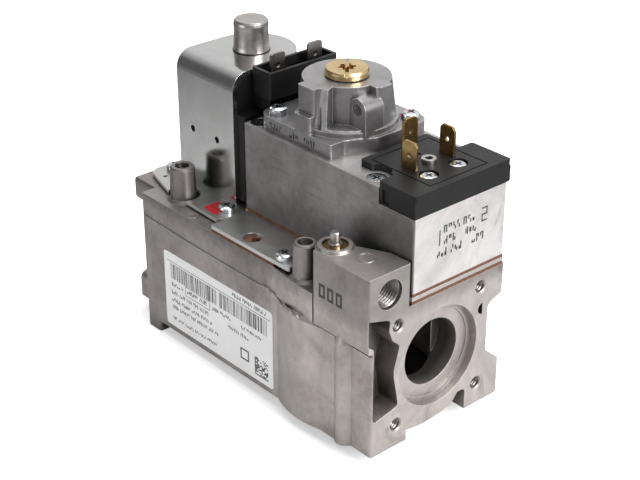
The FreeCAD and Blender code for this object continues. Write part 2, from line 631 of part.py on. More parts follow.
def servo_plunger():
    body = rod("Z", 3.9 - RUNNING, SERVO_SEAT + 0.7, 43.2, SERVO_COIL_AXIS)
    pocket = rod("Z", 2.3, 40.6, 43.2, SERVO_COIL_AXIS)
    return body.cut(pocket)


def servo_seal():
    return rod("Z", 2.2, SERVO_SEAT, SERVO_SEAT + 0.7, SERVO_COIL_AXIS)


def servo_spring():
    return spring(1.6, 0.25, 40.6, 44.6, 4, SERVO_COIL_AXIS)


# ---------------------------------------------------------------- servo regulator

def regulator_outside():
    """The die-cast dome with its plate, lugs, foot ring, cut-away sector and vent boss."""
    x0, y0 = REGULATOR_AXIS
    plate = prism("Z", [(-76.7, -10.95, 4.8), (-40.3, -10.95, 0.5), (-40.2, -5.2, 1), (-34.8, 5.0, 3),
                        (-34.8, 28.2, 4.4), (-76.7, 28.2, 4.8)], LID_TOP, REGULATOR_PLATE_TOP)
    base = REGULATOR_PLATE_TOP
    dome = cone("Z", 16.6, 14.7, base, REGULATOR_TOP, REGULATOR_AXIS)
    foot = rod("Z", 17.1, base, base + 1.9, REGULATOR_AXIS)
    sector = rod("Z", 30, base + 2.4, REGULATOR_TOP + 1, REGULATOR_AXIS)
    sector = sector.cut(rod("Z", 11.5, base, REGULATOR_TOP + 1, REGULATOR_AXIS))
    reach = 40
    wedge = [(x0, y0)] + [(x0 + reach * math.cos(math.radians(angle)),
                           y0 + reach * math.sin(math.radians(angle))) for angle in (-66, -35, -3)]
    sector = sector.common(prism("Z", wedge, base, REGULATOR_TOP + 1))
    upper_lug = prism("Z", rectangle(-58.0, -50.4, -9.4, y0, 0.8), 69.6, REGULATOR_TOP)
    lower_lug = prism("Z", rectangle(-58.2, -50.6, -10.95, y0, 0.8), base, 69.6)
    side_lug = prism("Z", rectangle(-50, -37.7, 7.9, 13.3, 0.6), 70.4, REGULATOR_TOP)
    vent_x, vent_z = VENT_AXIS
    vent = [rod("Y", 4.0, VENT_FACE, 8.6, VENT_AXIS),
            box(vent_x - 4, vent_x + 4, VENT_FACE, 8.6, base, vent_z)]
    groove = rod("Z", 1.1, base + 1.9, REGULATOR_TOP + 1, (-49.2, -8.3))
    dome_cut = fuse([dome, foot]).cut(sector).cut(groove)
    return fuse([plate, dome_cut, upper_lug, lower_lug, side_lug] + vent)


def regulator_housing():
    cone_top = 67.5
    hollows = [rod("Z", 16.6, LID_TOP, LID_TOP + 0.6, REGULATOR_AXIS),
               rod("Z", 12.5, LID_TOP, 61.5, REGULATOR_AXIS),
               cone("Z", 12.5, REGULATOR_THREAD_RADIUS, 61.5, cone_top, REGULATOR_AXIS),
               rod("Z", REGULATOR_THREAD_RADIUS, cone_top, REGULATOR_TOP, REGULATOR_AXIS),
               rod("Y", M5_TAP_RADIUS, VENT_FACE, VENT_FACE + 7.5, VENT_AXIS)]
    for place in REGULATOR_SCREWS:
        hollows.append(rod("Z", 1.7, LID_TOP, REGULATOR_PLATE_TOP, place))
    return regulator_outside().cut(fuse(hollows))


def regulator_screws():
    return [pan_screw(place, REGULATOR_PLATE_TOP, SERVO_SEAM + 1, 3.15, 2.4, 1.6)
            for place in REGULATOR_SCREWS]


def regulator_diaphragm():
    return rod("Z", 16.4, LID_TOP, LID_TOP + 0.6, REGULATOR_AXIS)


def regulator_plate():
    disc = rod("Z", 10.5, LID_TOP + 0.6, 60.3, REGULATOR_AXIS)
    return fuse([disc, rod("Z", 3.0, 60.3, 61.8, REGULATOR_AXIS)])


def regulator_spring():
    return spring(4.3, 0.5, 60.3, 69.6, 5, REGULATOR_AXIS)


def spring_seat():
    cup = rod("Z", REGULATOR_THREAD_RADIUS - RUNNING, 69.6, 70.8, REGULATOR_AXIS)
    return fuse([cup, rod("Z", 3.2, 68.4, 69.6, REGULATOR_AXIS)])


def adjusting_screw():
    """A threaded disc with a slot, under the cap screw."""
    disc = rod("Z", REGULATOR_THREAD_RADIUS - RUNNING, 70.8, 73.6, REGULATOR_AXIS)
    x, y = REGULATOR_AXIS
    return disc.cut(box(x - 4, x + 4, y - 0.6, y + 0.6, 72.2, 74))


def cap_seal():
    return tube("Z", 6.9, REGULATOR_THREAD_RADIUS, REGULATOR_TOP, CAP_SEAL_TOP, REGULATOR_AXIS)


def regulator_cap():
    """The brass cap screw, with a six-lobe socket crossed by a slot."""
    base = CAP_SEAL_TOP
    head = revolve([(0, base), (7.3, base), (7.3, base + 1.5), (6.9, base + 2.4), (0, base + 2.4)],
                   REGULATOR_AXIS)
    shank = rod("Z", REGULATOR_THREAD_RADIUS - RUNNING, 75.9, base, REGULATOR_AXIS)
    x, y = REGULATOR_AXIS
    socket = [rod("Z", 2.3, base - 0.6, base + 3, REGULATOR_AXIS)]
    for step in range(6):
        angle = math.radians(60 * step)
        place = (x + 2.4 * math.cos(angle), y + 2.4 * math.sin(angle))
        socket.append(rod("Z", 0.75, base - 0.6, base + 3, place))
    slot = box(-7.4, 7.4, -0.65, 0.65, base + 1.3, base + 3)
    slot.rotate(FreeCAD.Vector(0, 0, 0), FreeCAD.Vector(0, 0, 1), -43)
    slot.translate(FreeCAD.Vector(x, y, 0))
    return fuse([head, shank]).cut(fuse(socket)).cut(slot)


# ---------------------------------------------------------------- first solenoid valve

BASE_SCREWS = ((-87.0, -17.2), (-125.6, -11.0), (-125.6, 12.0))
PLATE_EYE = (-123.3, -17.0)


def base_outline(inset):
    left, right, back = -131.0 + inset, -82.2 - inset, 29.2 - inset
    front = -24.3 + inset
    return [(-121.4, back, 2), (-124.0, 23.0 - inset, 2), (left, 23.0 - inset, 2),
            (left, -15.6 + inset, 2), (-129.2, -18.6 + inset, 1),
            (-113.0, front + 1, 1), (-84.0, front, 0), (-81.2 - inset, front + 3, 0),
            (-81.2 - inset, -13.6, 0), (right, -13.2, 0), (right, back, 1)]


def base_layer(start, end, inset, hole_radius):
    nipple = rod("Z", 6.1, start, end, NIPPLES[0])
    holes = [rod("Z", 1.8, start, end, place) for place in BASE_SCREWS]
    holes.append(rod("Z", hole_radius, start, end, SOLENOID_AXIS))
    return prism("Z", base_outline(inset), start, end).cut(fuse(holes + [nipple]))


def base_seal():
    return base_layer(BODY_TOP, BASE_SEAL_TOP, 0.8, INLET_CHAMBER_RADIUS)


def base_plate():
    plate = base_layer(BASE_SEAL_TOP, BASE_PLATE_TOP, 0.0, PLUNGER_RADIUS + 0.2)
    return plate.cut(rod("Z", 0.8, BASE_SEAL_TOP, BASE_PLATE_TOP, PLATE_EYE))


def base_screws():
    return [pan_screw(place, BASE_PLATE_TOP, 13.0, 3.1, 2.3, 1.6) for place in BASE_SCREWS]


def armature_tube():
    wall = tube("Z", 6.2, PLUNGER_RADIUS + 0.08, BASE_PLATE_TOP, 60, SOLENOID_AXIS)
    flange = tube("Z", 9.5, PLUNGER_RADIUS + 0.08, BASE_PLATE_TOP, 26.6, SOLENOID_AXIS)
    return fuse([wall, flange])


def fixed_core():
    lower = rod("Z", PLUNGER_RADIUS + 0.08, CORE_BOTTOM, 60, SOLENOID_AXIS)
    upper = rod("Z", 6.2, 60, BRACKET_TOP - BRACKET_SHEET, SOLENOID_AXIS)
    stub = rod("Z", 4.0, BRACKET_TOP - BRACKET_SHEET, 80, SOLENOID_AXIS)
    return fuse([lower, upper, stub])


def plunger():
    body = rod("Z", PLUNGER_RADIUS, FIRST_SEAT_TOP + 6, PLUNGER_TOP, SOLENOID_AXIS)
    neck = rod("Z", 3.0, FIRST_SEAT_TOP + 4, FIRST_SEAT_TOP + 6, SOLENOID_AXIS)
    return fuse([body, neck])


def first_valve_disc():
    disc = rod("Z", FIRST_DISC_RADIUS, FIRST_SEAT_TOP + 2, FIRST_SEAT_TOP + 4, SOLENOID_AXIS)
    return disc


def first_valve_seal():
    return rod("Z", FIRST_DISC_RADIUS - 0.5, FIRST_SEAT_TOP, FIRST_SEAT_TOP + 2, SOLENOID_AXIS)


def return_spring():
    return spring(8.4, 0.5, FIRST_SEAT_TOP + 4, BASE_SEAL_TOP, 6, SOLENOID_AXIS)


def coil_bobbin():
    core = tube("Z", 7.8, 6.5, 29.5, 69.5, SOLENOID_AXIS)
    flanges = [tube("Z", 14.5, 6.5, z, z + 1.5, SOLENOID_AXIS) for z in (29.5, 68.0)]
    return fuse([core] + flanges)


def coil_winding():
    return tube("Z", 14.0, 7.8, 31.0, 68.0, SOLENOID_AXIS)


TERMINAL_BOX = (-87.6, -77.7, -4.4, 25.6, 65.3, 75.0)
TERMINAL_WALL = 1.1
COIL_TABS = (2.6, 19.2)
COIL_TAB_X = -82.4


def round_ended(x0, x1, front, end_centre, z0, z1):
    """An upright block that is square at its -Y end and half round at its +Y end."""
    middle, radius = (x0 + x1) / 2, (x1 - x0) / 2
    square = box(x0, x1, front, end_centre, z0, z1)
    return fuse([square, rod("Z", radius, z0, z1, (middle, end_centre))])


def coil_housing():
    """The black moulding round the first winding, with its open terminal box."""
    inner_top = BRACKET_TOP - BRACKET_SHEET - 0.1
    front, back = BRACKET_FRONT + BRACKET_SHEET + 0.1, 22.0
    main = prism("X", [(front, 27.0, 1), (30, 27.0), (30, inner_top), (front, inner_top, 5)],
                 -118.3, -88.0)
    main = main.common(round_ended(-118.3, -88.0, front, SOLENOID_AXIS[1], 27.0, inner_top))
    toe = prism("Z", rectangle(-92.0, -84.3, front, back, 1.5), 27.0, 58.9)
    x0, x1, ya, yb, z0, z1 = TERMINAL_BOX
    shell = prism("Z", rectangle(x0, x1, ya, yb, 0.8), z0, z1)
    bridge = box(-96, x1 - 1.5, ya + 1, yb - 1, 60.5, 67.0)
    inside = box(x0 + TERMINAL_WALL, x1 - TERMINAL_WALL, ya + TERMINAL_WALL, yb - TERMINAL_WALL,
                 z0 + 2.2, z1 + 1)
    slots = [box(COIL_TAB_X - 0.4, COIL_TAB_X + 0.4, y - 3.15, y + 3.15, 62, z0 + 3)
             for y in COIL_TABS]
    hollows = [rod("Z", 6.5, 27.0, inner_top, SOLENOID_AXIS),
               rod("Z", 14.5, 29.5, 69.5, SOLENOID_AXIS), inside]
    return fuse([main, toe, shell, bridge]).cut(fuse(hollows + slots))


def coil_tabs():
    """Two steel blade contacts inside the terminal box."""
    tabs = []
    top = 79.6
    for y in COIL_TABS:
        outline = [(y - 3.15, 62.0), (y + 3.15, 62.0), (y + 3.15, top, 1.2), (y - 3.15, top, 1.2)]
        blade = prism("X", outline, COIL_TAB_X - 0.4, COIL_TAB_X + 0.4)
        tabs.append(blade.cut(rod("X", 0.85, -84, -81, (y, top - 4.3))))
    return tabs


def coil_bracket():
    """The bent steel yoke over the first coil: a front leg and a top with a half-round end."""
    x0, x1 = BRACKET_X
    front, back = BRACKET_FRONT, 30.0
    bend = 6.3
    inner_top = BRACKET_TOP - BRACKET_SHEET
    profile = [(front, BASE_PLATE_TOP), (front + BRACKET_SHEET, BASE_PLATE_TOP),
               (front + BRACKET_SHEET, inner_top, bend - BRACKET_SHEET), (back, inner_top),
               (back, BRACKET_TOP), (front, BRACKET_TOP, bend)]
    sheet = prism("X", profile, x0, x1)
    sheet = sheet.common(round_ended(x0, x1, front, BRACKET_END_CENTRE, BASE_PLATE_TOP, BRACKET_TOP))
    holes = [rod("Z", 4.1, inner_top, BRACKET_TOP, SOLENOID_AXIS)]
    holes += [rod("Y", 1.25, front, front + BRACKET_SHEET, (x, 47.1)) for x in (-110.9, -97.2)]
    return sheet.cut(fuse(holes))


def nose_cap():
    """The waisted cap pressed over the core's stub."""
    z = BRACKET_TOP
    profile = [(4.05, z), (6.45, z), (6.45, z + 0.6), (6.25, z + 2.0), (6.05, z + 5.0),
               (6.0, z + 7.5), (6.1, z + 9.6), (6.0, z + 10.5), (5.5, NOSE_TOP), (0, NOSE_TOP),
               (0, 80.2), (4.05, 80.2)]
    return revolve(profile, SOLENOID_AXIS)


# ---------------------------------------------------------------- output

NODES = {
    "main_body": main_body,
    "bottom_cover": bottom_cover,
    "cover_screws": cover_screws,
    "main_diaphragm": main_diaphragm,
    "main_stem": main_stem,
    "main_valve_seal": main_valve_seal,
    "main_valve_disc": main_valve_disc,
    "main_valve_spring": main_valve_spring,
    "inlet_strainer": inlet_strainer,
    "type_label": type_label,
    "inlet_tap_screw": lambda: tap_screw(NIPPLES[0]),
    "outlet_tap_screw": lambda: tap_screw(NIPPLES[1]),
    "pilot_insert": pilot_insert,
    "pilot_pin": pilot_pin,
    "lower_gasket": lower_gasket,
    "valve_plate": valve_plate,
    "upper_gasket": upper_gasket,
    "tongue_screw": tongue_screw,
    "servo_housing": servo_housing,
    "servo_lid": servo_lid,
    "lid_screws": lid_screws,
    "connector_plate": connector_plate,
    "connector_screws": connector_screws,
    "connector_tabs": connector_tabs,
    "connector_nut": connector_nut,
    "servo_bobbin": servo_bobbin,
    "servo_winding": servo_winding,
    "servo_core": servo_core,
    "servo_plunger": servo_plunger,
    "servo_seal": servo_seal,
    "servo_spring": servo_spring,
    "regulator_housing": regulator_housing,
    "regulator_screws": regulator_screws,
    "regulator_diaphragm": regulator_diaphragm,
    "regulator_plate": regulator_plate,
    "regulator_spring": regulator_spring,
    "spring_seat": spring_seat,
    "adjusting_screw": adjusting_screw,
    "cap_seal": cap_seal,
    "regulator_cap": regulator_cap,
    "base_seal": base_seal,
    "base_plate": base_plate,
    "base_screws": base_screws,
    "armature_tube": armature_tube,
    "fixed_core": fixed_core,
    "plunger": plunger,
    "first_valve_disc": first_valve_disc,
    "first_valve_seal": first_valve_seal,
    "return_spring": return_spring,
    "coil_bobbin": coil_bobbin,
    "coil_winding": coil_winding,
    "coil_housing": coil_housing,
    "coil_tabs": coil_tabs,
    "coil_bracket": coil_bracket,
    "nose_cap": nose_cap,
}


def main():
    os.makedirs("parts", exist_ok=True)
    for name, make in NODES.items():
        shape = make()
        if isinstance(shape, list):
            shape = Part.makeCompound(shape)
        shape.exportStep("parts/" + name + ".step")
        print(name, len(shape.Solids), shape.isValid(), round(shape.Volume, 1))


main()
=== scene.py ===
"""Looks of a boiler's gas valve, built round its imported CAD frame. Lengths are in metres."""

import json
import math
import random

import bmesh
import bpy
from mathutils import Matrix, Vector


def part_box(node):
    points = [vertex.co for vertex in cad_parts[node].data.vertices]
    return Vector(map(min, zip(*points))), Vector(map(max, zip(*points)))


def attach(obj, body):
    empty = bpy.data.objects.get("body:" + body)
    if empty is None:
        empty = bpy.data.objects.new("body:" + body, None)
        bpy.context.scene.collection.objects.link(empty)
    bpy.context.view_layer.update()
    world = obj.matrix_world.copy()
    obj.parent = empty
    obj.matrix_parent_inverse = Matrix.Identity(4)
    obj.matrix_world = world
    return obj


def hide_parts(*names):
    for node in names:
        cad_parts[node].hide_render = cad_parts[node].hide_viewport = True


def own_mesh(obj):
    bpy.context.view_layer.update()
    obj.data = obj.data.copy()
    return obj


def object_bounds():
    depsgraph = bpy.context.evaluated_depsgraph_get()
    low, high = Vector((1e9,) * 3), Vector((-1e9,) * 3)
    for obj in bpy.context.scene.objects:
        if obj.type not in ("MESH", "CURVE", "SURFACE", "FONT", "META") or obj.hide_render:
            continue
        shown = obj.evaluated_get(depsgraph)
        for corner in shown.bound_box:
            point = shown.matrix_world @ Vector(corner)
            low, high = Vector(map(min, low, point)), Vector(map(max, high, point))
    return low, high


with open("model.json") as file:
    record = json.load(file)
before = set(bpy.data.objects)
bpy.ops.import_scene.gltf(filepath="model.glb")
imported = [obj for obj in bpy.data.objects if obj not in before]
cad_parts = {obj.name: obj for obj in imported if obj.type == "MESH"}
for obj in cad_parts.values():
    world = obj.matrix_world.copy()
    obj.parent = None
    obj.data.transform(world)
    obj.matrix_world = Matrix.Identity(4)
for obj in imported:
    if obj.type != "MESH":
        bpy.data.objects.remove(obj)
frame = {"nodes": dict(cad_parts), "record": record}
cad_low, cad_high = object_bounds()

MM = 0.001
FIXED = "valve_body"

# Places on the CAD in millimetres, where a node's box doesn't give them
BODY_SIDE = 29.45
BELLY_CENTRE_X = -32.3
BELLY_RADIUS = 32.4
BOSS_SIDE = -31.3
PILOT_AXIS = (-22.4, 31.1)
PILOT_RADIUS = 5.1
PILOT_PITCH = 1.06
VENT_AXIS = (-40.5, 72.3)
M5_PITCH = 0.8
BOLT_HALF_PITCH = 18.5
SOLENOID_AXIS = (-102.9, 8.0)
YOKE_TOP = 73.8
REGULATOR_PLATE_TOP = 63.65
GAS_WAY_RADIUS = 11.8

CAMERA_PLACE = (0.2806, -0.2982, 0.2580)
CAMERA_AZIMUTH = math.radians(49.1)
CAMERA_ELEVATION = math.radians(27.67)
CAMERA_ROLL = math.radians(-0.23)
CAMERA_LENS = 83.87
CAMERA_SHIFT = (0.0178, -0.0097)


# ---------------------------------------------------------------- node helpers

def new_material(name):
    """A material with its node tree and its Principled shader."""
    material = bpy.data.materials.new(name)
    material.use_nodes = True
    return material, material.node_tree, material.node_tree.nodes["Principled BSDF"]


def add(tree, kind, inputs=None, **settings):
    """A shader node with its settings made and its inputs set or linked."""
    made = tree.nodes.new("ShaderNode" + kind)
    for key, value in settings.items():
        setattr(made, key, value)
    for key, value in (inputs or {}).items():
        socket = made.inputs[key]
        if isinstance(value, bpy.types.NodeSocket):
            tree.links.new(value, socket)
        else:
            socket.default_value = value
    return made


def connect(tree, shader, **values):
    """Sets or links the Principled shader's inputs, named with underscores for spaces."""
    for key, value in values.items():
        socket = shader.inputs[key.replace("_", " ")]
        if isinstance(value, bpy.types.NodeSocket):
            tree.links.new(value, socket)
        else:
            socket.default_value = value


def rgb(red, green, blue):
    return (red, green, blue, 1.0)


def place(tree, stretch=(1, 1, 1)):
    """The row frame's coordinates, stretched along each axis."""
    coordinates = add(tree, "TexCoord").outputs["Object"]
    return add(tree, "Mapping", {"Vector": coordinates, "Scale": stretch}).outputs["Vector"]


def noise(tree, vector, scale, detail=4.0, roughness=0.55, distortion=0.0):
    return add(tree, "TexNoise", {"Vector": vector, "Scale": scale, "Detail": detail,
                                  "Roughness": roughness, "Distortion": distortion}).outputs[0]


def ramp(tree, value, stops):
    """A colour ramp from (position, grey or colour) stops."""
    made = add(tree, "ValToRGB", {"Fac": value})
    elements = made.color_ramp.elements
    while len(elements) < len(stops):
        elements.new(0.5)
    for element, (position, colour) in zip(elements, stops):
        element.position = position
        element.color = colour if isinstance(colour, tuple) else rgb(colour, colour, colour)
    return made.outputs["Color"]


def blend_colours(tree, factor, first, second, mode="MIX"):
    made = tree.nodes.new("ShaderNodeMix")
    made.data_type = "RGBA"
    made.blend_type = mode
    for index, value in ((0, factor), (6, first), (7, second)):
        if isinstance(value, bpy.types.NodeSocket):
            tree.links.new(value, made.inputs[index])
        else:
            made.inputs[index].default_value = value
    return made.outputs[2]


def maths(tree, operation, first, second=0.0):
    made = add(tree, "Math", {0: first, 1: second}, operation=operation)
    return made.outputs[0]


def bump(tree, height, distance, strength=1.0, normal=None):
    inputs = {"Height": height, "Distance": distance, "Strength": strength}
    if normal is not None:
        inputs["Normal"] = normal
    return add(tree, "Bump", inputs).outputs["Normal"]


def soft_edges(tree, radius):
    """A normal that rounds the shading over every sharp edge."""
    return add(tree, "Bevel", {"Radius": radius}, samples=4).outputs["Normal"]


def edge_mask(tree, radius):
    """Near 1 at a sharp edge, from how far a rounded normal leans from the true one."""
    rounded = add(tree, "Bevel", {"Radius": radius}, samples=4).outputs["Normal"]
    true_normal = add(tree, "NewGeometry").outputs["True Normal"]
    lean = add(tree, "VectorMath", {0: rounded, 1: true_normal}, operation="DOT_PRODUCT")
    return ramp(tree, maths(tree, "SUBTRACT", 1.0, lean.outputs["Value"]),
                [(0.02, 0.0), (0.28, 1.0)])


def facing(tree, direction, low=0.85, high=0.97):
    """1 on faces whose outward normal follows the direction, in the piece's own frame."""
    normal = add(tree, "TexCoord").outputs["Normal"]
    match = add(tree, "VectorMath", {0: normal, 1: direction}, operation="DOT_PRODUCT")
    return ramp(tree, match.outputs["Value"], [(low, 0.0), (high, 1.0)])


# ---------------------------------------------------------------- materials

def paint_hollow_shade(tree, colour, reach, deepest):
    """Darkens a colour deep in holes, pockets and corners: painted shade where less light reaches.
    """
    open_air = add(tree, "AmbientOcclusion", {"Distance": reach}, samples=6).outputs["AO"]
    return blend_colours(tree, 1.0, colour, ramp(tree, open_air, [(0.12, deepest), (0.62, 1.0)]),
                         "MULTIPLY")


def step_at(tree, value, low, high):
    """0 as far as low, 1 from high on, and straight between them."""
    made = add(tree, "MapRange", {"Value": value, "From Min": low, "From Max": high})
    return made.outputs["Result"]


def paint_gas_way_shade(tree, vector, colour):
    """Darkens the gas way along X, behind the spigot steps of its ports: painted shade in the
    bore.
    """
    across = add(tree, "VectorMath", {0: vector, 1: (0, 1, 1)}, operation="MULTIPLY")
    away = add(tree, "VectorMath", {0: across.outputs[0]}, operation="LENGTH").outputs["Value"]
    along = add(tree, "SeparateXYZ", {0: vector}).outputs["X"]
    near_axis = step_at(tree, away, (GAS_WAY_RADIUS + 0.8) * MM, (GAS_WAY_RADIUS + 0.1) * MM)
    inside = maths(tree, "MULTIPLY", near_axis, step_at(tree, along, -4 * MM, -8 * MM))
    return blend_colours(tree, maths(tree, "MULTIPLY", inside, 0.62), colour, rgb(0, 0, 0))


def casting(name, dark, light, roughness, grain=1.0, machined_and_lit=(), lit_from=None, edge_highlight=1.0,
            hollow_shade=(9 * MM, 0.16), darker_above=None):
    """Die-cast aluminium: blotches, flow streaks, grain, pits, painted highlights on its edges and
    painted shade in its hollows.

    machined_and_lit lists (direction, brightness) of faces painted paler: partly smooth machined
    faces, partly painted light on the sides the lamps face. Past lit_from in X it is paler, which
    is painted light on the belly and the boss, and higher than darker_above it is darker, with
    painted shade inside the gas way. edge_highlight widens and brightens the painted highlights
    on its edges, and hollow_shade is the reach of the painted shade in its hollows and the share
    of light left at its deepest.
    """
    material, tree, shader = new_material(name)
    vector = place(tree)
    streaks = place(tree, (1.0, 1.0, 0.45))
    blotch = noise(tree, vector, 55.0, 5.0, 0.62, 0.5)
    flow = noise(tree, streaks, 190.0, 4.0, 0.6, 0.8)
    fine = noise(tree, vector, 1900.0, 3.0, 0.6)
    mottle = noise(tree, vector, 520.0, 4.0, 0.65)
    mixed = maths(tree, "ADD", maths(tree, "MULTIPLY", blotch, 0.55),
                  maths(tree, "MULTIPLY", flow, 0.25))
    mixed = maths(tree, "ADD", mixed, maths(tree, "MULTIPLY", mottle, 0.2))
    colour = ramp(tree, mixed, [(0.36, rgb(*dark)), (0.64, rgb(*light))])
    pits = ramp(tree, noise(tree, vector, 700.0, 2.0, 0.5), [(0.68, 0.0), (0.74, 0.4)])
    colour = blend_colours(tree, pits, colour, rgb(*[c * 0.5 for c in dark]))
    rough = ramp(tree, mixed, [(0.3, roughness + 0.08), (0.7, roughness - 0.06)])
    # Past a given X the colour turns paler: painted light on the belly and the boss.
    if lit_from is not None:
        along = add(tree, "SeparateXYZ", {0: vector}).outputs["X"]
        paler = step_at(tree, along, lit_from - 3 * MM, lit_from + 2 * MM)
        pale = ramp(tree, mixed, [(0.34, rgb(*[c * 1.5 for c in dark])),
                                  (0.66, rgb(*[c * 1.4 for c in light]))])
        colour = blend_colours(tree, paler, colour, pale)
    stain = noise(tree, vector, 42.0, 7.0, 0.68, 1.4)
    # Faces turned to the listed directions turn paler: partly a machined finish, partly painted
    # light on the sides the lamps face.
    for direction, lit_gain in machined_and_lit:
        lit_face = facing(tree, direction)
        low, high = [c * lit_gain * 0.74 for c in light], [c * lit_gain for c in light]
        milled_and_lit = ramp(tree, stain, [(0.34, rgb(*low)), (0.58, rgb(*high))])
        colour = blend_colours(tree, lit_face, colour, milled_and_lit)
    soot = ramp(tree, noise(tree, vector, 33.0, 8.0, 0.7, 0.9), [(0.54, 0.0), (0.70, 0.6)])
    colour = blend_colours(tree, soot, colour, rgb(dark[0] * 0.62, dark[1] * 0.55, dark[2] * 0.5))
    if darker_above is not None:
        height_here = add(tree, "SeparateXYZ", {0: vector}).outputs["Z"]
        upper = step_at(tree, height_here, darker_above - 3 * MM, darker_above + 2 * MM)
        colour = blend_colours(tree, maths(tree, "MULTIPLY", upper, 0.33), colour, rgb(0, 0, 0))
        # Painted shade inside the gas way.
        colour = paint_gas_way_shade(tree, vector, colour)
    # Painted highlights along the sharp edges.
    edge_highlight_mask = edge_mask(tree, 0.45 * MM * edge_highlight)
    edge_highlight_mask = maths(tree, "MULTIPLY", edge_highlight_mask, ramp(tree, mottle, [(0.3, 0.3), (0.7, 0.8)]))
    bright = rgb(*[min(1.0, c * (1.0 + 0.9 * edge_highlight)) for c in light])
    colour = blend_colours(tree, edge_highlight_mask, colour, bright)
    # Painted shade deep in holes, pockets and corners.
    if hollow_shade is not None:
        colour = paint_hollow_shade(tree, colour, *hollow_shade)
    height = maths(tree, "ADD", maths(tree, "MULTIPLY", fine, 0.5),
                   maths(tree, "MULTIPLY", mottle, 0.9))
    normal = bump(tree, height, 0.05 * MM * grain, 0.8, soft_edges(tree, 0.3 * MM))
    normal = bump(tree, blotch, 0.5 * MM, 0.35, normal)
    connect(tree, shader, Base_Color=colour, Metallic=0.85, Roughness=rough, Normal=normal)
    return material


def zinc_sheet(name, tint, roughness, wave=1.0, matt_edge=False):
    """Bright zinc on rolled sheet: rolling lines, haze, slow waves and a matt sheared edge."""
    material, tree, shader = new_material(name)
    vector = place(tree)
    rolled = noise(tree, place(tree, (0.12, 0.12, 2.2)), 900.0, 3.0, 0.6)
    haze = noise(tree, vector, 90.0, 5.0, 0.6, 0.4)
    slow = noise(tree, vector, 28.0, 2.0, 0.4)
    colour = ramp(tree, haze, [(0.3, rgb(*[c * 0.86 for c in tint])), (0.7, rgb(*tint))])
    # Painted highlights along the sharp edges, near white.
    edge_highlight_mask = edge_mask(tree, 0.25 * MM)
    colour = blend_colours(tree, edge_highlight_mask, colour, rgb(0.9, 0.91, 0.92))
    rough = ramp(tree, haze, [(0.3, roughness + 0.07), (0.7, roughness - 0.05)])
    normal = bump(tree, slow, 0.9 * MM * wave, 0.5, soft_edges(tree, 0.2 * MM))
    normal = bump(tree, rolled, 0.012 * MM, 0.6, normal)
    sheared = facing(tree, (0, -1, 0)) if matt_edge else 0.0
    metallic = maths(tree, "SUBTRACT", 1.0, maths(tree, "MULTIPLY", sheared, 0.75))
    connect(tree, shader, Base_Color=colour, Metallic=metallic, Roughness=rough, Normal=normal)
    return material


def turned_metal(name, tint, roughness, shade=0.75):
    """Turned or stamped metal: fine grain, haze, painted edge highlights, painted shade in
    hollows.
    """
    material, tree, shader = new_material(name)
    vector = place(tree)
    haze = noise(tree, vector, 260.0, 4.0, 0.6)
    lines = noise(tree, place(tree, (0.2, 0.2, 3.0)), 1600.0, 2.0, 0.5)
    colour = ramp(tree, haze, [(0.3, rgb(*[c * shade for c in tint])), (0.7, rgb(*tint))])
    # Painted highlights along the sharp edges.
    edge_highlight_mask = edge_mask(tree, 0.2 * MM)
    colour = blend_colours(tree, edge_highlight_mask, colour, rgb(*[min(1.0, c * 1.25) for c in tint]))
    # Painted shade deep in holes and corners.
    colour = paint_hollow_shade(tree, colour, 1.6 * MM, 0.3)
    rough = ramp(tree, haze, [(0.3, roughness + 0.08), (0.7, roughness - 0.04)])
    normal = bump(tree, lines, 0.01 * MM, 0.6, soft_edges(tree, 0.15 * MM))
    connect(tree, shader, Base_Color=colour, Metallic=1.0, Roughness=rough, Normal=normal)
    return material


def moulded_plastic(name, tint, roughness):
    """Glass-filled black plastic with a spark-eroded grain and painted highlights on its corners.
    """
    material, tree, shader = new_material(name)
    vector = place(tree)
    grain = noise(tree, vector, 2600.0, 3.0, 0.6)
    haze = noise(tree, vector, 110.0, 4.0, 0.6, 0.3)
    colour = ramp(tree, haze, [(0.3, rgb(*tint)), (0.75, rgb(*[c * 1.5 for c in tint]))])
    # Painted highlights on the corners.
    edge_highlight_mask = maths(tree, "MULTIPLY", edge_mask(tree, 0.3 * MM), 0.45)
    colour = blend_colours(tree, edge_highlight_mask, colour, rgb(*[c * 3.5 for c in tint]))
    rough = ramp(tree, haze, [(0.3, roughness + 0.06), (0.7, roughness - 0.05)])
    normal = bump(tree, grain, 0.03 * MM, 0.5, soft_edges(tree, 0.25 * MM))
    connect(tree, shader, Base_Color=colour, Roughness=rough, Normal=normal,
            Specular_IOR_Level=0.3)
    return material


def fibre(name):
    """Pressed brown gasket fibre."""
    material, tree, shader = new_material(name)
    strands = noise(tree, place(tree, (1.0, 1.0, 3.0)), 900.0, 6.0, 0.75, 0.8)
    colour = ramp(tree, strands, [(0.34, rgb(0.05, 0.018, 0.010)), (0.5, rgb(0.13, 0.05, 0.026)),
                                  (0.66, rgb(0.26, 0.12, 0.06))])
    normal = bump(tree, strands, 0.12 * MM, 0.9)
    connect(tree, shader, Base_Color=colour, Roughness=0.85, Normal=normal)
    return material


def rubber(name):
    material, tree, shader = new_material(name)
    grain = noise(tree, place(tree), 1200.0, 4.0, 0.6)
    colour = ramp(tree, grain, [(0.3, rgb(0.012, 0.012, 0.012)), (0.7, rgb(0.035, 0.034, 0.033))])
    connect(tree, shader, Base_Color=colour, Roughness=0.7,
            Normal=bump(tree, grain, 0.03 * MM, 0.6))
    return material


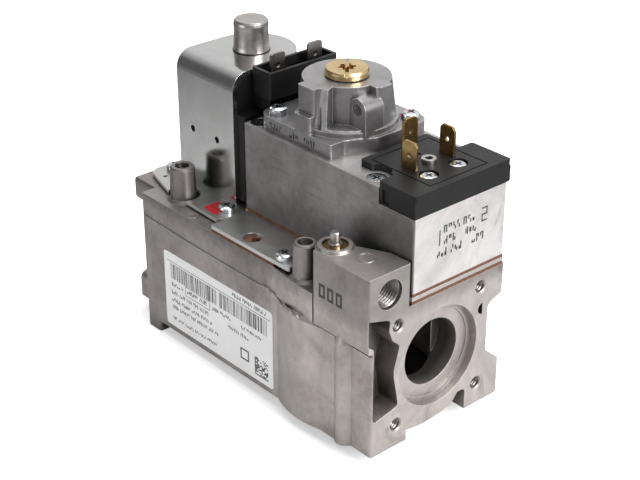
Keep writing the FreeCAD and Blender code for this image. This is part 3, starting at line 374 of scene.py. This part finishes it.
def enamelled_wire(name):
    """Closely wound copper wire: each turn is a fine ring round the vertical axis."""
    material, tree, shader = new_material(name)
    turns = add(tree, "TexWave", {"Vector": place(tree), "Scale": 650.0, "Distortion": 0.3},
                bands_direction="Z").outputs[0]
    haze = noise(tree, place(tree), 200.0)
    colour = ramp(tree, haze, [(0.3, rgb(0.30, 0.09, 0.03)), (0.7, rgb(0.50, 0.18, 0.06))])
    connect(tree, shader, Base_Color=colour, Metallic=0.6, Roughness=0.3,
            Normal=bump(tree, turns, 0.1 * MM, 0.8))
    return material


def label_film(name):
    """Matt white film with a faint paper tooth."""
    material, tree, shader = new_material(name)
    tooth = noise(tree, place(tree), 1400.0, 4.0, 0.6)
    haze = noise(tree, place(tree), 45.0, 3.0, 0.6)
    colour = ramp(tree, haze, [(0.3, rgb(0.86, 0.86, 0.865)), (0.7, rgb(0.93, 0.93, 0.93))])
    connect(tree, shader, Base_Color=colour, Roughness=0.42,
            Normal=bump(tree, tooth, 0.015 * MM, 0.5))
    return material


def flat_ink(name, tint, roughness=0.55):
    """Thin printed or painted film, a little uneven."""
    material, tree, shader = new_material(name)
    patch = noise(tree, place(tree), 700.0, 4.0, 0.65)
    colour = ramp(tree, patch, [(0.35, rgb(*tint)), (0.75, rgb(*[c * 1.6 for c in tint]))])
    connect(tree, shader, Base_Color=colour, Roughness=roughness,
            Normal=bump(tree, patch, 0.01 * MM, 0.4))
    return material


CAST_BODY = casting("cast_body", (0.22, 0.198, 0.186), (0.38, 0.350, 0.336), 0.44,
                    machined_and_lit=[((1, 0, 0), 1.4), ((0, 0, 1), 1.3)], lit_from=-50 * MM,
                    hollow_shade=(14 * MM, 0.07), darker_above=21 * MM)
CAST_FLASH = casting("cast_flash", (0.24, 0.218, 0.205), (0.46, 0.425, 0.41), 0.36, 1.6,
                     hollow_shade=None)
CAST_SERVO = casting("cast_servo", (0.18, 0.171, 0.17), (0.31, 0.297, 0.295), 0.40,
                     machined_and_lit=[((1, 0, 0), 2.6), ((0, 0, 1), 1.8)])
CAST_REGULATOR = casting("cast_regulator", (0.20, 0.194, 0.197), (0.33, 0.32, 0.324), 0.33, 0.6,
                         machined_and_lit=[((0, 0, 1), 1.15)], edge_highlight=1.9)
COVER_STEEL = turned_metal("cover_steel", (0.16, 0.17, 0.19), 0.36)
ZINC = zinc_sheet("zinc_sheet", (0.66, 0.66, 0.655), 0.17)
PLATE_ZINC = zinc_sheet("plate_zinc", (0.60, 0.60, 0.59), 0.36, 0.6, matt_edge=True)
SCREW_ZINC = turned_metal("screw_zinc", (0.80, 0.83, 0.86), 0.16)
SATIN = turned_metal("satin_steel", (0.56, 0.53, 0.51), 0.3)
WIRE_STEEL = turned_metal("spring_steel", (0.5, 0.5, 0.52), 0.3)
TAB_STEEL = turned_metal("tab_steel", (0.40, 0.38, 0.36), 0.28, 0.6)
CUT_THREAD = turned_metal("cut_thread", (0.30, 0.28, 0.265), 0.33, 0.5)
BLADE = turned_metal("blade_brass", (0.55, 0.38, 0.16), 0.24, 0.6)
CAP_BRASS = turned_metal("cap_brass", (0.80, 0.60, 0.31), 0.24)
BLACK = moulded_plastic("black_plastic", (0.006, 0.006, 0.0063), 0.42)
FIBRE = fibre("fibre_gasket")
RUBBER = rubber("black_rubber")
COPPER = enamelled_wire("enamelled_wire")
LABEL = label_film("label_film")
INK = flat_ink("print_ink", (0.02, 0.02, 0.021))
FAINT_INK = flat_ink("stamp_ink", (0.035, 0.034, 0.034), 0.6)
RED_PAINT = flat_ink("red_paint", (0.33, 0.004, 0.006), 0.5)

SLOT_MATERIALS = {
    "cast_body": CAST_BODY, "cast_servo": CAST_SERVO, "cast_regulator": CAST_REGULATOR,
    "zinc_plate": ZINC, "zinc_screw": SCREW_ZINC, "satin_steel": SATIN,
    "blade_brass": BLADE, "cap_brass": CAP_BRASS, "black_plastic": BLACK,
    "fibre_gasket": FIBRE, "black_rubber": RUBBER, "copper_winding": COPPER,
    "label_paper": LABEL, "spring_steel": WIRE_STEEL,
}
NODE_MATERIALS = {"coil_tabs": TAB_STEEL, "bottom_cover": COVER_STEEL,
                  "base_plate": PLATE_ZINC, "valve_plate": PLATE_ZINC}


def dress_cad_nodes():
    """Gives each CAD node its own material, or the one of its record slot."""
    for entry in frame["record"]["subparts"]:
        node = frame["nodes"][entry["node"]]
        material = NODE_MATERIALS.get(entry["node"], SLOT_MATERIALS[entry["material_slot"]])
        for index in range(len(node.data.materials)):
            node.data.materials[index] = material


# ---------------------------------------------------------------- detail pieces

def make_piece(name, build, material, body=FIXED):
    """A piece from a bmesh in millimetres, riding on a CAD body."""
    bmesh.ops.scale(build, vec=(MM, MM, MM), verts=build.verts)
    bmesh.ops.recalc_face_normals(build, faces=build.faces)
    mesh = bpy.data.meshes.new(name)
    build.to_mesh(mesh)
    build.free()
    mesh.materials.append(material)
    piece = bpy.data.objects.new(name, mesh)
    bpy.context.scene.collection.objects.link(piece)
    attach(piece, body)
    return piece


def shortening_springs():
    """Copies of the springs and the diaphragm that flatten as their valve lifts."""
    for joint in frame["record"]["behaviour"]["joints"]:
        for row in joint.get("deforming_nodes", ()):
            name, held = row["node"], row["fixed_end_z_m"]
            low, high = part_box(name)
            if abs(held - high.z) > 0.2 * MM:
                continue
            node = frame["nodes"][name]
            piece = bpy.data.objects.new(name + "_flexing", node.data.copy())
            piece.matrix_world = node.matrix_world
            bpy.context.scene.collection.objects.link(piece)
            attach(piece, FIXED)
            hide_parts(name)
            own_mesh(piece)


def regulator_spring_halves():
    """The regulator's spring in two lengths, cut at its middle height, both riding on the valve
    body.
    """
    node = frame["nodes"]["regulator_spring"]
    low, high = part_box("regulator_spring")
    middle = (low.z + high.z) / 2
    for part, joint in (("lower", "regulator_slide"), ("upper", "spring_seat_slide")):
        build = bmesh.new()
        build.from_mesh(node.data)
        bmesh.ops.remove_doubles(build, verts=build.verts, dist=1e-7)
        bmesh.ops.bisect_plane(build, geom=build.verts[:] + build.edges[:] + build.faces[:],
                               plane_co=(0, 0, middle), plane_no=(0, 0, 1),
                               clear_outer=part == "lower", clear_inner=part == "upper")
        rims = [edge for edge in build.edges if edge.is_boundary]
        bmesh.ops.holes_fill(build, edges=rims)
        bmesh.ops.scale(build, vec=(1 / MM, 1 / MM, 1 / MM), verts=build.verts)
        piece = make_piece("regulator_spring_" + part, build, WIRE_STEEL)
        if part == "lower":
            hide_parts("regulator_spring")
        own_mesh(piece)


# The sides that carry print: how a place (u, v) on each one and a height off it become a point.
SIDES = {
    "-Y": lambda u, v, level, lift: (u, level - lift, v),
    "+X": lambda u, v, level, lift: (level + lift, u, v),
    "+Z": lambda u, v, level, lift: (u, v, level + lift),
}
FILM = 0.03
PAINT = 0.12


def add_outline(build, side, level, points, thickness=FILM):
    """A thin closed slab over a flat outline, half of it sunk into the side."""
    low = [build.verts.new(SIDES[side](u, v, level, -thickness / 2)) for u, v in points]
    high = [build.verts.new(SIDES[side](u, v, level, thickness / 2)) for u, v in points]
    build.faces.new(low)
    build.faces.new(high[::-1])
    for index in range(len(points)):
        following = (index + 1) % len(points)
        build.faces.new((low[following], low[index], high[index], high[following]))


def add_bar(build, side, level, u0, u1, v0, v1, thickness=FILM):
    add_outline(build, side, level, [(u0, v0), (u1, v0), (u1, v1), (u0, v1)], thickness)


def add_greeked(build, rng, side, level, u0, u1, v0, height, words=(3, 6)):
    """A row of unreadable strokes, grouped like words, from u0 towards u1."""
    stroke = 0.2 * height
    u = u0
    while u < u1 - 0.5 * height:
        for _ in range(rng.randint(*words)):
            width = rng.choice((0.34, 0.46, 0.56)) * height
            if u + width > u1:
                return
            for edge in (u, u + width - stroke):
                low, high = rng.choice(((0.0, 0.45), (0.5, 1.0), (0.2, 0.8), (0.0, 1.0)))
                add_bar(build, side, level, edge, edge + stroke, v0 + low * height,
                        v0 + high * height)
            low = v0 + rng.choice((0.0, 0.4, 0.83)) * height
            add_bar(build, side, level, u + stroke, u + width - stroke, low, low + stroke)
            u += width + 0.2 * height
        u += 0.5 * height


def label_print():
    """Bars, rules, a framed field, greeked rows and a cell code on the label."""
    rng = random.Random(4)
    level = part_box("type_label")[0].y / MM
    build = bmesh.new()
    add_bar(build, "-Y", level, -106.9, -49.0, 2.2, 2.4)
    for start, end in ((-104.9, -78.4), (-76.8, -50.9)):
        u = start
        while u < end:
            width = rng.choice((0.2, 0.2, 0.4, 0.6))
            add_bar(build, "-Y", level, u, min(u + width, end), -4.5, 1.6)
            u += width + rng.choice((0.25, 0.25, 0.45, 0.6))
    add_greeked(build, rng, "-Y", level, -69.4, -50.5, 3.2, 1.5, (5, 6))
    rows = ((-104.6, -97.4, -7.5, 1.5), (-95.6, -83.6, -7.2, 1.7), (-81.0, -70.7, -7.4, 1.5),
            (-64.9, -53.5, -7.6, 1.2), (-104.8, -83.1, -10.9, 1.5), (-72.0, -60.7, -10.9, 1.5),
            (-104.9, -81.4, -14.0, 1.5), (-104.7, -77.3, -17.0, 1.5), (-104.7, -79.1, -21.6, 1.3))
    for u0, u1, v0, height in rows:
        add_greeked(build, rng, "-Y", level, u0, u1, v0, height)
    for u0, u1, v0, v1 in ((-96.6, -82.4, -4.9, -4.7), (-96.6, -82.4, -8.4, -8.2),
                           (-96.6, -96.4, -8.2, -4.9), (-82.6, -82.4, -8.2, -4.9)):
        add_bar(build, "-Y", level, u0, u1, v0, v1)
    cells, pitch, cell = 12, 0.6, 0.54
    for row in range(cells):
        for column in range(cells):
            if column == 0 or row == 0 or rng.random() < 0.5:
                u, v = -57.8 + pitch * column, -22.4 + pitch * row
                add_bar(build, "-Y", level, u, u + cell, v, v + cell)
    for u0, u1, v0, v1 in ((-65.6, -61.0, -15.8, -15.2), (-65.6, -61.0, -19.6, -19.0),
                           (-65.6, -65.0, -19.0, -15.8), (-61.6, -61.0, -19.0, -15.8)):
        add_bar(build, "-Y", level, u0, u1, v0, v1)
    make_piece("label_print", build, INK)


def digit(build, side, level, figure, u, v, width, height, stroke):
    """A plain figure 1 or 2 built from straight strokes."""
    if figure == 1:
        add_bar(build, side, level, u, u + stroke, v, v + height)
        return
    top, middle = v + height, v + height / 2
    add_bar(build, side, level, u, u + width, top - stroke, top)
    add_bar(build, side, level, u, u + width, middle - stroke / 2, middle + stroke / 2)
    add_bar(build, side, level, u, u + width, v, v + stroke)
    add_bar(build, side, level, u + width - stroke, u + width, middle, top)
    add_bar(build, side, level, u, u + stroke, v, middle)


def housing_print():
    """Ink-jet rows on the servo housing's +X face and on the regulator plate's edge."""
    rng = random.Random(11)
    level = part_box("servo_housing")[1].x / MM
    build = bmesh.new()
    digit(build, "+X", level, 1, -1.9, 40.6, 2.0, 5.4, 0.5)
    digit(build, "+X", level, 2, 17.0, 42.6, 2.6, 5.0, 0.5)
    for u0, u1, v0 in ((0.0, 7.2, 44.4), (8.7, 14.2, 44.4), (0.3, 5.7, 40.4), (9.8, 16.0, 40.4),
                       (-2.6, 8.7, 36.4), (12.9, 18.6, 36.4)):
        add_greeked(build, rng, "+X", level, u0, u1, v0, 2.7, (3, 4))
    make_piece("housing_print", build, INK)
    build = bmesh.new()
    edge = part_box("regulator_housing")[0].y / MM
    for u0, u1 in ((-70.4, -62.4), (-60.4, -55.2), (-53.2, -47.8)):
        add_greeked(build, rng, "-Y", edge, u0, u1, 59.9, 2.3, (4, 5))
    make_piece("regulator_print", build, INK)


def boss_stamp():
    """Three plain frames of rubber-stamp ink on the pilot boss."""
    build = bmesh.new()
    for u in (-22.8, -18.9, -14.9):
        for u0, u1, v0, v1 in ((u, u + 2.9, 28.0, 29.0), (u, u + 2.9, 24.0, 25.0),
                               (u, u + 0.9, 25.0, 28.0), (u + 2.0, u + 2.9, 25.0, 28.0)):
            add_bar(build, "-Y", BOSS_SIDE, u0, u1, v0, v1)
    make_piece("boss_stamp", build, FAINT_INK)


def red_marks():
    """Red sealing paint by the base plate's screw, on the regulator plate and its screw."""
    build = bmesh.new()
    plate_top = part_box("base_plate")[1].z / MM
    add_outline(build, "+Z", plate_top, [(-94.2, -21.9), (-88.0, -22.6), (-85.3, -21.8),
                                         (-88.6, -19.9), (-90.6, -17.0), (-92.4, -15.2),
                                         (-94.0, -15.4)], PAINT)
    make_piece("red_paint_plate", build, RED_PAINT)
    build = bmesh.new()
    add_outline(build, "+Z", REGULATOR_PLATE_TOP, [(-43.9, 22.6), (-42.4, 22.0), (-41.2, 23.4),
                                                   (-42.0, 25.8), (-43.8, 25.2)], PAINT)
    screw_head = REGULATOR_PLATE_TOP + 1.9
    add_outline(build, "+Z", screw_head, [(-41.6, 24.0), (-40.6, 23.6), (-40.0, 25.0),
                                          (-40.9, 25.9)], 0.5)
    make_piece("red_paint_lug", build, RED_PAINT)


def add_thread(build, axis, centre, radius, pitch, start, end, depth):
    """A V ridge that winds along a bore from start to end, with its foot sunk in the wall."""
    steps = 26
    foot, half_width = radius + 0.03, 0.48
    turns = abs(end - start) / pitch
    count = int(turns * steps)
    previous = first = None
    for index in range(count + 1):
        angle = 2 * math.pi * index / steps
        along = start + (end - start) * index / count
        ring = []
        for reach, shift in ((foot, -half_width), (radius - depth, 0.0), (foot, half_width)):
            u, v = centre[0] + reach * math.cos(angle), centre[1] + reach * math.sin(angle)
            place_along = along + shift * pitch
            spot = (place_along, u, v) if axis == "X" else (u, place_along, v)
            ring.append(build.verts.new(spot))
        if previous is None:
            first = ring
        else:
            for corner in range(3):
                after = (corner + 1) % 3
                build.faces.new((previous[corner], previous[after], ring[after], ring[corner]))
        previous = ring
    build.faces.new(first)
    build.faces.new(previous[::-1])


def threads():
    """The screw threads inside the pilot outlet, the flange holes and the vent boss."""
    build = bmesh.new()
    add_thread(build, "X", PILOT_AXIS, PILOT_RADIUS, PILOT_PITCH, -10.2, -1.3, 0.5)
    make_piece("pilot_thread", build, CUT_THREAD)
    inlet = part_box("main_body")[0].x / MM
    for name, face, inward, radius in (("outlet_threads", 0.0, -1, 2.11),
                                       ("inlet_threads", inlet, 1, 2.51)):
        build = bmesh.new()
        for y in (-BOLT_HALF_PITCH, BOLT_HALF_PITCH):
            for z in (-BOLT_HALF_PITCH, BOLT_HALF_PITCH):
                add_thread(build, "X", (y, z), radius, M5_PITCH, face + inward * 0.9,
                           face + inward * 9.2, 0.4)
        make_piece(name, build, CUT_THREAD)
    build = bmesh.new()
    add_thread(build, "Y", VENT_AXIS, 2.1, M5_PITCH, 1.1, 7.4, 0.4)
    make_piece("vent_thread", build, CUT_THREAD)


def belly_front(x):
    """The Y of the body's -Y side at x, on the flat block or the round belly."""
    squared = BELLY_RADIUS ** 2 - (x - BELLY_CENTRE_X) ** 2
    return -max(BODY_SIDE, math.sqrt(squared)) if squared > 0 else -BODY_SIDE


def close_rings(build, rings):
    """Skins a row of equal closed rings into one closed shape."""
    for before, after in zip(rings, rings[1:]):
        for corner in range(len(before)):
            following = (corner + 1) % len(before)
            build.faces.new((before[corner], before[following], after[following], after[corner]))
    build.faces.new(rings[0])
    build.faces.new(rings[-1][::-1])


def parting_height(x):
    """The height of the die's parting line along the -Y side at x."""
    line = ((-121, 14.6), (-102, 14.4), (-89, 13.9), (-54, 13.9), (-46, 12.9), (-40.5, 12.4),
            (-31, 12.2), (-18.5, 12.0))
    for (x0, z0), (x1, z1) in zip(line, line[1:]):
        if x <= x1:
            return z0 + (z1 - z0) * (x - x0) / (x1 - x0)
    return line[-1][1]


def torn_strip(build, rng, x0, x1, half, stand):
    """A ragged strip of trimmed flash from x0 to x1, up to half above and below its middle.

    It stands out by up to stand, and its back is sunk in the casting.
    """
    pace, rows, sunk = 0.3, 6, 0.4
    count = int((x1 - x0) / pace)
    above = below = half * 0.8
    rings = []
    for step in range(count + 1):
        x = x0 + pace * step
        taper = min(1.0, 0.25 + step / 4, 0.25 + (count - step) / 4)
        above = min(half, max(0.45 * half, above + rng.uniform(-0.28, 0.28) * half))
        below = min(half, max(0.45 * half, below + rng.uniform(-0.28, 0.28) * half))
        middle, front = parting_height(x), belly_front(x)
        ring = []
        for row in range(rows + 1):
            height = taper * (above - (above + below) * row / rows)
            out = stand * taper * rng.uniform(0.25, 1.0) if 0 < row < rows else -0.05
            ring.append(build.verts.new((x, front - out, middle + height)))
        ring.append(build.verts.new((x, front + sunk, middle - taper * below)))
        ring.append(build.verts.new((x, front + sunk, middle + taper * above)))
        rings.append(ring)
    close_rings(build, rings)


def flash_line():
    """The trimmed flash along the die's parting line: a low ridge with two torn patches."""
    rng = random.Random(23)
    build = bmesh.new()
    for x0, x1, half, stand in ((-120.6, -104.0, 0.35, 0.16), (-104.0, -54.5, 0.16, 0.07),
                                (-54.5, -46.0, 1.25, 0.38), (-46.0, -41.0, 0.4, 0.16),
                                (-41.0, -31.0, 1.4, 0.44), (-31.0, -19.0, 0.45, 0.18)):
        torn_strip(build, rng, x0, x1, half, stand)
    bmesh.ops.triangulate(build, faces=build.faces)
    make_piece("casting_flash", build, CAST_FLASH)


def seam_lines():
    """Fine raised seams on the servo housing and a dark line round the nose cap's foot."""
    build = bmesh.new()
    servo_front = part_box("servo_housing")[0].y / MM
    add_bar(build, "-Y", servo_front, -74.0, -46.0, 47.6, 47.75, 0.1)
    add_bar(build, "-Y", servo_front, -50.0, -36.0, 44.6, 44.72, 0.1)
    make_piece("servo_seams", build, CAST_SERVO)
    build = bmesh.new()
    radius, depth = 6.62, 0.28
    centre = Matrix.Translation((*SOLENOID_AXIS, YOKE_TOP + depth / 2))
    bmesh.ops.create_cone(build, cap_ends=True, cap_tris=False, segments=72, radius1=radius,
                          radius2=radius, depth=depth, matrix=centre)
    make_piece("nose_foot_line", build, BLACK)


# ---------------------------------------------------------------- camera, lights and floor

def make_camera():
    data = bpy.data.cameras.new("camera")
    data.lens = CAMERA_LENS
    data.shift_x, data.shift_y = CAMERA_SHIFT
    data.clip_start, data.clip_end = 0.01, 20.0
    camera = bpy.data.objects.new("camera", data)
    a, e, r = CAMERA_AZIMUTH, CAMERA_ELEVATION, CAMERA_ROLL
    back = Vector((math.sin(a) * math.cos(e), -math.cos(a) * math.cos(e), math.sin(e)))
    right = Vector((math.cos(a), math.sin(a), 0))
    up = back.cross(right)
    right, up = right * math.cos(r) + up * math.sin(r), up * math.cos(r) - right * math.sin(r)
    turn = Matrix((right, up, back)).transposed().to_4x4()
    camera.matrix_world = Matrix.Translation(CAMERA_PLACE) @ turn
    bpy.context.scene.collection.objects.link(camera)
    bpy.context.scene.camera = camera


def soft_light(name, where, target, size, power, tint=(1, 1, 1)):
    data = bpy.data.lights.new(name, "AREA")
    data.shape = "RECTANGLE"
    data.size, data.size_y = size
    data.energy = power
    data.color = tint
    light = bpy.data.objects.new(name, data)
    light.location = where
    light.rotation_mode = "QUATERNION"
    light.rotation_quaternion = (Vector(target) - Vector(where)).to_track_quat("-Z", "Y")
    bpy.context.scene.collection.objects.link(light)


def make_world():
    """A studio that is bright on the +X side and behind, and dark above its -Y side."""
    world = bpy.data.worlds.new("studio")
    world.use_nodes = True
    tree = world.node_tree
    direction = add(tree, "TexCoord").outputs["Generated"]
    side = add(tree, "VectorMath", {0: direction, 1: (0.80, 0.35, 0.25)}, operation="DOT_PRODUCT")
    rear = add(tree, "VectorMath", {0: direction, 1: (-0.66, 0.59, 0.46)}, operation="DOT_PRODUCT")
    share = maths(tree, "ADD", maths(tree, "MULTIPLY", side.outputs["Value"], 0.5), 0.5)
    glow = ramp(tree, rear.outputs["Value"], [(0.45, 0.0), (0.9, 0.62)])
    sky = blend_colours(tree, 1.0, ramp(tree, share, [(0.15, 0.13), (0.5, 0.40), (0.9, 0.95)]),
                        glow, "ADD")
    tree.links.new(sky, tree.nodes["Background"].inputs["Color"])
    tree.nodes["Background"].inputs["Strength"].default_value = 0.9
    bpy.context.scene.world = world
    bpy.context.scene.view_settings.view_transform = "Standard"


def make_floor():
    """A wide pale floor, level with the lowest point of the part.

    Reflections see it fade with distance from the part, so that metal near it isn't washed out.
    """
    mesh = bpy.data.meshes.new("floor")
    build = bmesh.new()
    bmesh.ops.create_grid(build, x_segments=8, y_segments=8, size=4.0)
    build.to_mesh(mesh)
    build.free()
    floor = bpy.data.objects.new("floor", mesh)
    floor.location = (0, 0, cad_low.z)
    bpy.context.scene.collection.objects.link(floor)
    material, tree, shader = new_material("pale_floor")
    seen = add(tree, "LightPath").outputs["Is Camera Ray"]
    cloud = noise(tree, place(tree), 3.0)
    pale = ramp(tree, cloud, [(0.3, 0.92), (0.7, 0.94)])
    level = add(tree, "VectorMath", {0: add(tree, "TexCoord").outputs["Object"],
                                     1: (0.06, 0, 0)}, operation="ADD").outputs[0]
    away = add(tree, "VectorMath", {0: level}, operation="LENGTH").outputs["Value"]
    bounce = ramp(tree, step_at(tree, away, 0.09, 0.33), [(0.0, 0.68), (1.0, 0.16)])
    colour = blend_colours(tree, seen, bounce, pale)
    connect(tree, shader, Roughness=0.9, Base_Color=colour, Emission_Color=rgb(1, 1, 1),
            Emission_Strength=maths(tree, "MULTIPLY", seen, 0.45))
    mesh.materials.append(material)


dress_cad_nodes()
shortening_springs()
regulator_spring_halves()
label_print()
housing_print()
boss_stamp()
red_marks()
threads()
flash_line()
seam_lines()
make_camera()
make_world()
make_floor()
soft_light("key", (0.75, 0.10, 0.42), (-0.04, 0, 0.02), (0.5, 0.5), 9.0)
soft_light("top", (-0.10, 0.10, 0.75), (-0.06, 0, 0.03), (0.6, 0.5), 3.5)
soft_light("fill", (-0.25, -0.85, 0.05), (-0.06, 0, 0.0), (0.5, 0.4), 2.0)
